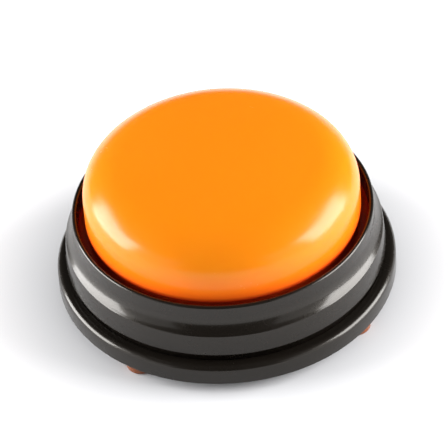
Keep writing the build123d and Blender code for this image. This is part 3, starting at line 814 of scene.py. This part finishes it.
@dataclass
class SteppedRing:
    """The two black rings: the upper tier with its cove and rim, and the flange below the groove."""

    overall_radius: float = 44.45
    plate_top: float = FOOT_HEIGHT + 2.0
    lip_top: float = FOOT_HEIGHT + 3.4
    ledge: float = FOOT_HEIGHT + 5.5
    tier_bottom: float = FOOT_HEIGHT + 7.5
    tier_radius: float = 42.0
    crease_radius: float = 41.5
    crease: float = FOOT_HEIGHT + 13.8
    cove_tilt: float = 50.0
    rim_radius: float = 39.3
    rim_inner_radius: float = 38.0
    rim: float = FOOT_HEIGHT + 21.1
    spigot_radius: float = 41.0
    bore_radius: float = 38.9
    bore_top: float = FOOT_HEIGHT + 15.8
    boss_radii: tuple[float, float] = (1.15, 3.0)
    boss_top: float = FOOT_HEIGHT + 10.8
    boss_circle: float = 38.6
    boss_angles: tuple[int, ...] = (45, 135, 225, 315)
    boss_steps: int = 40
    boss_overlap: float = 0.4
    flange_round: float = 1.5
    seat_gap: float = 0.1
    lip_gap: float = 0.4
    flange_wall: float = 1.15
    steps: int = 224

    def build(self) -> list[Piece]:
        """Build both rings.

        Returns:
            Both pieces.
        """
        return [self.upper_ring(), self.skirt()]

    def upper_ring(self) -> Piece:
        """Spin the upper tier with its cove and rounded rim, and add the screw bosses.

        Returns:
            The piece.
        """
        tilt = math.radians(self.cove_tilt)
        cove = (self.crease_radius - self.rim_radius) / (1 - math.cos(tilt))
        half = (self.rim_radius - self.rim_inner_radius) / 2
        lathe = Lathe(self.rim_inner_radius, self.rim)
        lathe.line(
            (self.rim_inner_radius, self.bore_top), (self.bore_radius, self.bore_top),
            (self.bore_radius, self.lip_top), (self.spigot_radius, self.lip_top),
            (self.spigot_radius, self.tier_bottom), (self.tier_radius, self.tier_bottom),
            (self.crease_radius, self.crease),
        )
        cove_end = self.crease + cove * math.sin(tilt)
        lathe.arc((self.rim_radius + cove, cove_end), -self.cove_tilt, 12)
        lathe.line((self.rim_radius, self.rim))
        lathe.arc((self.rim_radius - half, self.rim), 180, 10)
        bmesh.ops.remove_doubles(lathe.mesh, verts=lathe.mesh.verts, dist=1e-3)
        lathe.round_corners([
            (self.tier_radius, self.tier_bottom, 0.5), (self.crease_radius, self.crease, 0.25),
            (self.rim_inner_radius, self.bore_top, 0.2), (self.spigot_radius, self.lip_top, 0.2),
        ])
        whole = joined([lathe.spin(self.steps), *self.bosses()])
        return piece("upper_ring", whole, BLACK_ABS, Body.BASE, ["top_ring"])

    def bosses(self) -> list[Mesh]:
        """Make the screw bosses inside the ring, each a thick tube with its outer side buried in the wall.

        Returns:
            One mesh for each boss.
        """
        bore, outside = self.boss_radii
        depth = self.boss_top - 1.0
        meshes = []
        for x, y in on_circle(self.boss_circle, self.boss_angles):
            lathe = Lathe(0.0, self.boss_top)
            lathe.line(
                (outside, self.boss_top), (outside, self.plate_top), (bore, self.plate_top), (bore, depth),
                (0.0, depth),
            )
            lathe.round_corners([(outside, self.boss_top, 0.3)])
            mesh = lathe.spin(self.boss_steps)
            limit = self.spigot_radius - self.boss_overlap
            for vert in mesh.verts:
                reach = math.hypot(vert.co.x + self.boss_circle, vert.co.y)
                if reach > limit:
                    vert.co.x = math.sqrt(limit**2 - vert.co.y**2) - self.boss_circle
            bmesh.ops.rotate(mesh, matrix=Matrix.Rotation(math.atan2(y, x), 3, "Z"), verts=mesh.verts)
            bmesh.ops.translate(mesh, vec=(x, y, 0), verts=mesh.verts)
            meshes.append(mesh)
        return meshes

    def skirt(self) -> Piece:
        """Spin the flange that the upper ring stands in.

        Returns:
            The piece.
        """
        inner = self.spigot_radius + self.seat_gap
        lip = self.bore_radius + self.lip_gap
        rebate = self.overall_radius - self.flange_wall
        lathe = Lathe(self.overall_radius, self.ledge)
        lathe.line(
            (inner, self.ledge), (inner, self.lip_top), (lip, self.lip_top), (lip, self.plate_top),
            (rebate, self.plate_top), (rebate, FOOT_HEIGHT), (self.overall_radius, FOOT_HEIGHT),
        )
        lathe.close()
        lathe.round_corners([(self.overall_radius, self.ledge, self.flange_round)], 10)
        lathe.round_corners([(self.overall_radius, FOOT_HEIGHT, 0.3), (inner, self.ledge, 0.25)])
        mesh = lathe.spin(self.steps)
        return piece("skirt_flange", mesh, BLACK_ABS, Body.BASE, ["skirt_ring"])


@dataclass
class Feet:
    """The four soft feet, each a pad with a hollow sole and a stem."""

    radius: float = 3.9
    sole_radii: tuple[float, float] = (1.9, 2.4)
    sole_depth: float = 0.5
    stem_radius: float = 2.5
    stem_top: float = FOOT_HEIGHT + 1.2
    circle: float = 39.9
    angles: tuple[int, ...] = (0, 90, 180, 270)

    def build(self) -> Piece:
        """Spin one foot for each place on the circle.

        Returns:
            The piece that holds all four.
        """
        hollow, tread = self.sole_radii
        meshes = []
        for x, y in on_circle(self.circle, self.angles):
            lathe = Lathe(0.0, self.sole_depth)
            lathe.line(
                (hollow, self.sole_depth), (tread, 0.0), (self.radius, 0.0), (self.radius, FOOT_HEIGHT),
                (self.stem_radius, FOOT_HEIGHT), (self.stem_radius, self.stem_top), (0.0, self.stem_top),
            )
            lathe.round_corners([
                (hollow, self.sole_depth, 0.3), (tread, 0.0, 0.2), (self.radius, FOOT_HEIGHT, 0.15),
            ])
            lathe.round_corners([(self.radius, 0.0, 0.6)], 6)
            lathe.round_corners([(self.stem_radius, self.stem_top, 0.3)])
            meshes.append(lathe.spin(56, Matrix.Translation((x, y, 0))))
        # painted shade: the feet are brown for the shade under the flange, not for their own colour
        return piece("rubber_feet", joined(meshes), FOOT_RUBBER_PAINTED_SHADE, Body.BASE, ["feet"])


@dataclass
class ReturnSprings:
    """Three compression springs with closed ends, each on its post."""

    radius: float = 2.6
    wire_radius: float = 0.3
    seat: float = FOOT_HEIGHT + 11.8
    top: float = FOOT_HEIGHT + 23.8
    open_turns: int = 4
    circle: float = 29.0
    angles: tuple[int, ...] = (90, 210, 330)
    travel: float = 2.8
    steps: int = 28

    def build(self) -> list[Piece]:
        """Wind the three springs.

        Returns:
            The three pieces.
        """
        made = []
        for index, (x, y) in enumerate(on_circle(self.circle, self.angles), start=1):
            mesh = self.wind()
            bmesh.ops.translate(mesh, vec=(x, y, self.seat), verts=mesh.verts)
            name = f"return_spring_{index}"
            spring = piece(f"{name}_coil", mesh, SPRING_STEEL, Body.BASE, [name])
            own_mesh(spring)
            made.append(spring)
        return made

    def wind(self) -> Mesh:
        """Wind one spring on the origin: a closed turn, the open turns and a closed turn.

        Returns:
            The spring's mesh.
        """
        closed = 2 * self.wire_radius
        pitch = (self.top - self.seat - closed - 2 * closed) / self.open_turns
        mesh = bmesh.new()
        bmesh.ops.create_circle(mesh, cap_ends=True, radius=self.wire_radius, segments=12)
        bmesh.ops.rotate(mesh, matrix=Matrix.Rotation(math.pi / 2, 3, "X"), verts=mesh.verts)
        bmesh.ops.translate(mesh, vec=(self.radius, 0, self.wire_radius), verts=mesh.verts)
        section = [*mesh.faces]
        for turns, rise in ((1, closed), (self.open_turns, pitch), (1, closed)):
            swept = bmesh.ops.spin(
                mesh, geom=section, cent=(0, 0, 0), axis=(0, 0, 1), dvec=(0, 0, rise / self.steps),
                angle=FULL_TURN * turns, steps=self.steps * turns, use_merge=False, use_duplicate=False,
            )
            section = picked(swept["geom_last"], bmesh.types.BMFace)
        bmesh.ops.recalc_face_normals(mesh, faces=mesh.faces)
        return mesh


@dataclass
class SwitchDome:
    """The silicone dome that the plunger pushes down on the board's contacts."""

    foot_radius: float = 6.0
    foot: float = BOARD_TOP + 0.9
    crown_radius: float = 3.3
    top: float = BOARD_TOP + 5.6
    pill_top: float = BOARD_TOP + 3.9
    skin: float = 0.8
    travel: float = 2.8

    def build(self) -> Piece:
        """Spin the dome: flat foot, thin cone and thick crown.

        Returns:
            The piece.
        """
        neck = (self.foot_radius + self.crown_radius) / 2
        slack = self.skin / 2
        lathe = Lathe(0.0, self.top)
        lathe.line(
            (self.crown_radius, self.top), (self.crown_radius, self.pill_top - slack), (neck, self.foot),
            (self.foot_radius, self.foot), (self.foot_radius, BOARD_TOP), (neck - self.skin, BOARD_TOP),
            (neck - self.skin, self.foot - slack), (self.crown_radius - self.skin, self.pill_top),
            (0.0, self.pill_top),
        )
        lathe.round_corners([
            (self.crown_radius, self.top, 0.5), (self.crown_radius, self.pill_top - slack, 0.5),
            (neck, self.foot, 0.4), (self.foot_radius, self.foot, 0.25),
        ])
        dome = piece("silicone_switch", lathe.spin(64), SILICONE, Body.BASE, ["switch_dome"])
        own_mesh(dome)
        return dome


@dataclass
class Cells:
    """The two AAA cells, each a steel can in a jacket of shrink film, laid head to tail along X."""

    length: float = 44.5
    tip: float = 25.0
    rows: tuple[float, float] = (6.0, 16.8)
    height: float = FOOT_HEIGHT + 7.35
    band_start: float = 31.0
    band_end: float = 36.0
    steps: int = 72

    def build(self) -> list[Piece]:
        """Build both cells, the second turned round.

        Returns:
            A can and a jacket for each cell.
        """
        made = []
        for number, (y, way) in enumerate(zip(self.rows, (1, -1)), start=1):
            start = (self.tip - self.length) * way
            turn = Matrix.Rotation(way * math.pi / 2, 4, "Y")
            place = Matrix.Translation((start, y, self.height)) @ turn
            name = f"battery_{number}"
            made.append(piece(f"{name}_can", self.can(place), NICKEL, Body.BASE, [name]))
            film = self.film(name, start, way)
            made.append(piece(f"{name}_jacket", self.jacket(place), film, Body.BASE, [name]))
        return made

    def film(self, name: str, start: float, way: int) -> Finish:
        """The jacket's print, banded along the cell from its flat end.

        Args:
            name: the cell's name.
            start: X of its flat end.
            way: 1 where it points to +X and -1 where it points to -X.

        Returns:
            The finish.
        """
        places = ((0.0, JACKET.colour), (self.band_start, "#C4C8CF"), (self.band_end, JACKET.colour))
        stops = [(start + way * along, colour) for along, colour in (*places, (self.length, JACKET.colour))]
        if way < 0:
            colours = [colour for _, colour in stops][-2::-1]
            stops = list(zip(sorted(where for where, _ in stops), [*colours, colours[-1]]))
        return replace(JACKET, name=f"{name}_film", bands=Bands("X", tuple(stops), sharp=True))

    def can(self, place: Matrix) -> Mesh:
        """Spin the steel can, with its recessed flat end and its positive nub.

        Args:
            place: where the cell lies.

        Returns:
            The can's mesh.
        """
        head = self.length - 1.17
        lathe = Lathe(0.0, 0.35)
        lathe.line(
            (3.6, 0.35), (4.0, 0.1), (4.6, 0.1), (5.05, 0.5), (5.05, head - 0.4), (4.7, head), (2.6, head),
            (2.3, head - 0.3), (1.9, head - 0.3), (1.9, self.length), (0.0, self.length),
        )
        lathe.round_corners([(1.9, self.length, 0.3), (5.05, 0.5, 0.3), (5.05, head - 0.4, 0.3)])
        return lathe.spin(self.steps, place)

    def jacket(self, place: Matrix) -> Mesh:
        """Spin the film, which laps over the can's shoulders at both ends.

        Args:
            place: where the cell lies.

        Returns:
            The jacket's mesh.
        """
        head = self.length - 1.0
        lathe = Lathe(4.4, 0.0)
        lathe.line(
            (5.0, 0.02), (5.25, 0.35), (5.25, head - 0.35), (5.0, head - 0.02), (4.3, head),
            (4.3, head - 0.1), (4.95, head - 0.12), (5.13, head - 0.4), (5.13, 0.4), (4.95, 0.1),
            (4.4, 0.08),
        )
        return lathe.close().spin(self.steps, place)


@dataclass
class BoardParts:
    """Parts on the circuit board that the CAD keeps plain: capacitor, resistors and solder joints."""

    capacitor: tuple[float, float] = (9.0, -13.0)
    resistor_x: tuple[float, ...] = (6.0, 9.5, 13.0)
    resistor_length: float = 5.5
    resistor_radius: float = 0.9
    resistor_y: float = 4.2
    lead_radius: float = 0.22
    lead_reach: float = 1.0
    wire_pads: tuple = ((17.5, 1.0), (17.5, 13.5))
    speaker_pads: tuple = ((-7.5, -6.0), (7.5, -6.0))
    board_bottom: float = BOARD_TOP - 1.6

    def build(self) -> list[Piece]:
        """Build the parts.

        Returns:
            Three pieces.
        """
        return [self.can(), self.resistors(), self.solder()]

    def can(self) -> Piece:
        """Spin the electrolytic capacitor, with the crimp near its foot and its dished top.

        Returns:
            The piece.
        """
        lathe = Lathe(0.0, 0.0)
        lathe.line(
            (2.5, 0.0), (2.5, 0.8), (2.25, 1.05), (2.5, 1.3), (2.5, 5.4), (1.8, 5.4), (1.7, 5.25),
            (0.0, 5.25),
        )
        lathe.round_corners([
            (2.5, 0.0, 0.25), (2.5, 0.8, 0.2), (2.25, 1.05, 0.2), (2.5, 1.3, 0.2), (2.5, 5.4, 0.4),
        ])
        mesh = lathe.spin(56, Matrix.Translation((*self.capacitor, BOARD_TOP)))
        return piece("capacitor_can", mesh, SLEEVE, Body.BASE, ["capacitor"])

    def ends(self, x: float) -> tuple[float, float]:
        """Where a resistor's body starts and ends.

        Args:
            x: the resistor's X.

        Returns:
            Y of its start and of its end.
        """
        start = self.resistor_y + x / 4
        return start, start + self.resistor_length

    def resistors(self) -> Piece:
        """Spin three waisted resistor bodies.

        Returns:
            The piece that holds all three.
        """
        meshes = []
        for x in self.resistor_x:
            lathe = Lathe(0.0, 0.0)
            lathe.line(
                (0.9, 0.0), (0.9, 1.2), (0.72, 1.6), (0.72, 3.9), (0.9, 4.3), (0.9, self.resistor_length),
                (0.0, self.resistor_length),
            )
            lathe.round_corners([
                (0.9, 0.0, 0.4), (0.9, 1.2, 0.2), (0.72, 1.6, 0.2), (0.72, 3.9, 0.2), (0.9, 4.3, 0.2),
                (0.9, self.resistor_length, 0.4),
            ])
            laid = Matrix.Rotation(-math.pi / 2, 4, "X")
            start = (x, self.ends(x)[0], BOARD_TOP + self.resistor_radius)
            meshes.append(lathe.spin(32, Matrix.Translation(start) @ laid))
        whole = joined(meshes)
        return piece("resistor_bodies", whole, LACQUER, Body.BASE, ["resistors"])

    def solder(self) -> Piece:
        """Make the resistors' bent leads, and a cone of solder at every lead and wire.

        Returns:
            The piece that holds them all.
        """
        meshes = [self.joint(x, y, BOARD_TOP, 1, 0.9) for x, y in self.wire_pads]
        meshes += [self.joint(x, y, self.board_bottom, -1, 0.9) for x, y in self.speaker_pads]
        for x in self.resistor_x:
            start, end = self.ends(x)
            for y, way in ((start, -1), (end, 1)):
                meshes.append(self.lead(x, y, way))
                meshes.append(self.joint(x, y + way * self.lead_reach, BOARD_TOP, 1, 0.55))
        return piece("solder_joints", joined(meshes), TIN, Body.BASE)

    def joint(self, x: float, y: float, z: float, way: int, radius: float) -> Mesh:
        """A concave cone of solder on the board's face.

        Args:
            x: its X.
            y: its Y.
            z: height of the board's face.
            way: 1 for the upper face and -1 for the lower.
            radius: its radius on the face.

        Returns:
            The cone's mesh.
        """
        lathe = Lathe(0.0, -0.05)
        lathe.line((radius, -0.05), (radius, 0.05), (radius * 0.55, 0.25), (radius * 0.5, 0.5), (0.0, 0.6))
        lathe.round_corners([(radius * 0.55, 0.25, 0.12)])
        return lathe.spin(24, Matrix.Translation((x, y, z)) @ Matrix.Scale(way, 4, (0, 0, 1)))

    def lead(self, x: float, y: float, way: int) -> Mesh:
        """A lead that runs out of a resistor and bends down into the board.

        Args:
            x: the resistor's X.
            y: Y of the end that it leaves.
            way: 1 where it runs to +Y and -1 where it runs to -Y.

        Returns:
            The lead's mesh.
        """
        bend = 0.4
        inside = 0.3
        height = BOARD_TOP + self.resistor_radius
        mesh = bmesh.new()
        made = bmesh.ops.create_circle(mesh, cap_ends=True, radius=self.lead_radius, segments=10)
        bmesh.ops.rotate(mesh, matrix=Matrix.Rotation(math.pi / 2, 3, "X"), verts=made["verts"])
        bmesh.ops.translate(mesh, vec=(x, y - way * inside, height), verts=made["verts"])
        grown = bmesh.ops.extrude_face_region(mesh, geom=mesh.faces[:])["geom"]
        moved = picked(grown, bmesh.types.BMVert)
        bmesh.ops.translate(mesh, vec=(0, way * (inside + self.lead_reach - bend), 0), verts=moved)
        turned = bmesh.ops.spin(
            mesh, geom=picked(grown, bmesh.types.BMFace),
            cent=(x, y + way * (self.lead_reach - bend), height - bend), axis=(way, 0, 0),
            angle=-math.pi / 2, steps=5, use_merge=False, use_duplicate=False,
        )
        end = picked(turned["geom_last"], bmesh.types.BMFace)
        foot = bmesh.ops.extrude_face_region(mesh, geom=end)["geom"]
        bmesh.ops.translate(mesh, vec=(0, 0, -bend), verts=picked(foot, bmesh.types.BMVert))
        bmesh.ops.recalc_face_normals(mesh, faces=mesh.faces)
        return mesh


@dataclass
class SpeakerCone:
    """The clear film cone: a rippled surround, a plain cone and a domed middle."""

    radius: float = 10.6
    fold_radius: float = 5.0
    low: float = FOOT_HEIGHT + 2.25
    depth: float = 1.3
    thickness: float = 0.3
    ripple_pitch: float = 1.3
    ripple_height: float = 0.1
    ripple_start: float = 7.0
    ripple_fade: float = 0.8
    centre_y: float = -17.0
    rings: int = 48

    def height(self, radius: float) -> float:
        """Height of the film's underside.

        Args:
            radius: distance from the cone's middle.

        Returns:
            The height there.
        """
        if radius < self.fold_radius:
            return self.low + self.depth * (0.5 + 0.5 * (radius / self.fold_radius) ** 2)
        slope = self.depth * (self.radius - radius) / (self.radius - self.fold_radius)
        ripples = max(0.0, min(1.0, (radius - self.ripple_start) / self.ripple_fade))
        wave = 0.5 - 0.5 * math.cos(FULL_TURN * (self.radius - radius) / self.ripple_pitch)
        return self.low + slope + ripples * self.ripple_height * wave

    def build(self) -> Piece:
        """Spin the cone.

        Returns:
            The piece.
        """
        radii = [self.radius * step / self.rings for step in range(self.rings + 1)]
        lathe = Lathe(0.0, self.height(0.0))
        lathe.line(*[(radius, self.height(radius)) for radius in radii[1:]])
        lathe.line(*[(radius, self.height(radius) + self.thickness) for radius in reversed(radii)])
        mesh = lathe.spin(96, Matrix.Translation((0, self.centre_y, 0)))
        return piece("film_cone", mesh, FILM, Body.BASE, ["speaker_cone"])


def dress_cad_nodes() -> None:
    """Give every CAD node that is still shown the finish of its slot in the record."""
    for row in frame["record"]["subparts"]:
        node = frame["nodes"][row["node"]]
        if node.hide_render:
            continue
        node.data.materials.clear()
        finish = NODE_FINISHES.get(row["node"], SLOT_FINISHES[row["material_slot"]])
        node.data.materials.append(finish.material())
        log.info("%s: CAD node dressed as %s", row["node"], row["material_slot"])


# ---- studio ---------------------------------------------------------------------------------
@dataclass
class Studio:
    """White table that glows with painted light away from the buzzer, a strong softbox on each side with a
    weak one in front of it, and the camera.

    Its sizes are in metres, its angles in degrees, and each softbox is an azimuth from the camera's
    own, an elevation and a power in watts.
    """

    azimuth: float = 37.0
    elevation: float = 41.7
    roll: float = -4.6
    distance: float = 0.924
    lens: float = 285.0
    target_height: float = 0.0175
    softboxes: tuple = ((-98.0, 15.0, 24.0), (88.0, 21.0, 24.0), (-60.0, 12.0, 1.5), (52.0, 15.0, 1.5))
    light_distance: float = 0.9
    light_size: tuple[float, float] = (0.72, 0.58)
    table_half: float = 0.8
    # painted light on the table: where its glow starts and where it is full, in metres from the middle, and
    # its strength
    painted_light_from: float = 0.044
    painted_light_full: float = 0.09
    painted_light: float = 0.75
    room_light: float = 0.42
    room_mirrored: float = 0.06

    @staticmethod
    def direction(azimuth: float, elevation: float) -> Vector:
        """The way from the buzzer to a place in the studio.

        Args:
            azimuth: degrees round from -Y towards +X.
            elevation: degrees above the table.

        Returns:
            A unit vector.
        """
        turn, rise = math.radians(azimuth), math.radians(elevation)
        return Vector((math.sin(turn) * math.cos(rise), -math.cos(turn) * math.cos(rise), math.sin(rise)))

    def build(self) -> None:
        """Build the floor, the lights, the surroundings and the camera."""
        self.floor()
        self.camera()
        for azimuth, elevation, power in self.softboxes:
            self.softbox(azimuth, elevation, power)
        self.surroundings()
        bpy.context.scene.view_settings.view_transform = "Standard"

    def floor(self) -> None:
        """A white table top, lit by painted light from its own material."""
        mesh = bmesh.new()
        bmesh.ops.create_grid(mesh, x_segments=1, y_segments=1, size=self.table_half)
        data = bpy.data.meshes.new("table_top")
        mesh.to_mesh(data)
        mesh.free()
        table = bpy.data.objects.new("table_top", data)
        bpy.context.scene.collection.objects.link(table)
        data.materials.append(self.laminate())

    def laminate(self) -> bpy.types.Material:
        """White laminate with painted light: it glows more the farther it is from the buzzer and not at all
        under it, so the table stays white and only a contact shadow shows.

        Returns:
            The material.
        """
        made = Finish("white_laminate_painted_light", "#C0C0C2", 0.6, tone=0.0, grain_depth_mm=0.0).material()
        tree = made.node_tree
        place = add_node(tree, "ShaderNodeTexCoord").outputs["Object"]
        reach = add_node(tree, "ShaderNodeVectorMath", {0: place}, operation="LENGTH").outputs["Value"]
        # painted light: the table's emission, none near the buzzer, full a little way out
        painted_light = add_node(
            tree, "ShaderNodeMapRange",
            {"Value": reach, "From Min": self.painted_light_from, "From Max": self.painted_light_full, "To Max": self.painted_light},
        )
        shader = tree.nodes["Principled BSDF"]
        shader.inputs["Emission Color"].default_value = (1, 1, 1, 1)
        tree.links.new(painted_light.outputs["Result"], shader.inputs["Emission Strength"])
        return made

    def camera(self) -> None:
        """A long lens that looks down on the buzzer, very slightly rolled."""
        data = bpy.data.cameras.new("camera")
        data.lens = self.lens
        data.clip_end = 20.0
        camera = bpy.data.objects.new("camera", data)
        bpy.context.scene.collection.objects.link(camera)
        back = self.direction(self.azimuth, self.elevation)
        camera.location = Vector((0, 0, self.target_height)) + back * self.distance
        camera.rotation_mode = "QUATERNION"
        level = (-back).to_track_quat("-Z", "Y")
        camera.rotation_quaternion = level @ Quaternion((0, 0, 1), math.radians(self.roll))
        bpy.context.scene.camera = camera

    def softbox(self, azimuth: float, elevation: float, power: float) -> None:
        """Place one rectangular softbox that faces the buzzer.

        Args:
            azimuth: degrees round from the camera's own azimuth.
            elevation: degrees above the table.
            power: watts.
        """
        data = bpy.data.lights.new("softbox", "AREA")
        data.shape = "RECTANGLE"
        data.size, data.size_y = self.light_size
        data.energy = power
        light = bpy.data.objects.new("softbox", data)
        bpy.context.scene.collection.objects.link(light)
        toward = self.direction(self.azimuth + azimuth, elevation)
        light.location = toward * self.light_distance
        light.rotation_mode = "QUATERNION"
        light.rotation_quaternion = (-toward).to_track_quat("-Z", "Y")

    def surroundings(self) -> None:
        """A bright room that is white behind the table and dark where polished parts mirror it."""
        world = bpy.data.worlds.new("room")
        world.use_nodes = True
        tree = world.node_tree
        path = add_node(tree, "ShaderNodeLightPath")
        mirrored = path.outputs["Is Glossy Ray"]
        lit = add_node(
            tree, "ShaderNodeMapRange",
            {"Value": mirrored, "To Min": self.room_light, "To Max": self.room_mirrored},
        )
        level = add_node(
            tree, "ShaderNodeMapRange",
            {"Value": path.outputs["Is Camera Ray"], "To Min": lit.outputs["Result"], "To Max": 1.0},
        )
        tree.links.new(level.outputs["Result"], tree.nodes["Background"].inputs["Strength"])
        tree.nodes["Background"].inputs["Color"].default_value = (1, 1, 1, 1)
        bpy.context.scene.world = world


def main() -> None:
    """Build the buzzer's pieces, dress the CAD nodes and set up the studio."""
    logging.basicConfig(level=logging.INFO, format="%(message)s")
    Dome().build()
    SteppedRing().build()
    Feet().build()
    ReturnSprings().build()
    SwitchDome().build()
    Cells().build()
    BoardParts().build()
    SpeakerCone().build()
    dress_cad_nodes()
    Studio().build()


if __name__ == "__main__":
    main()
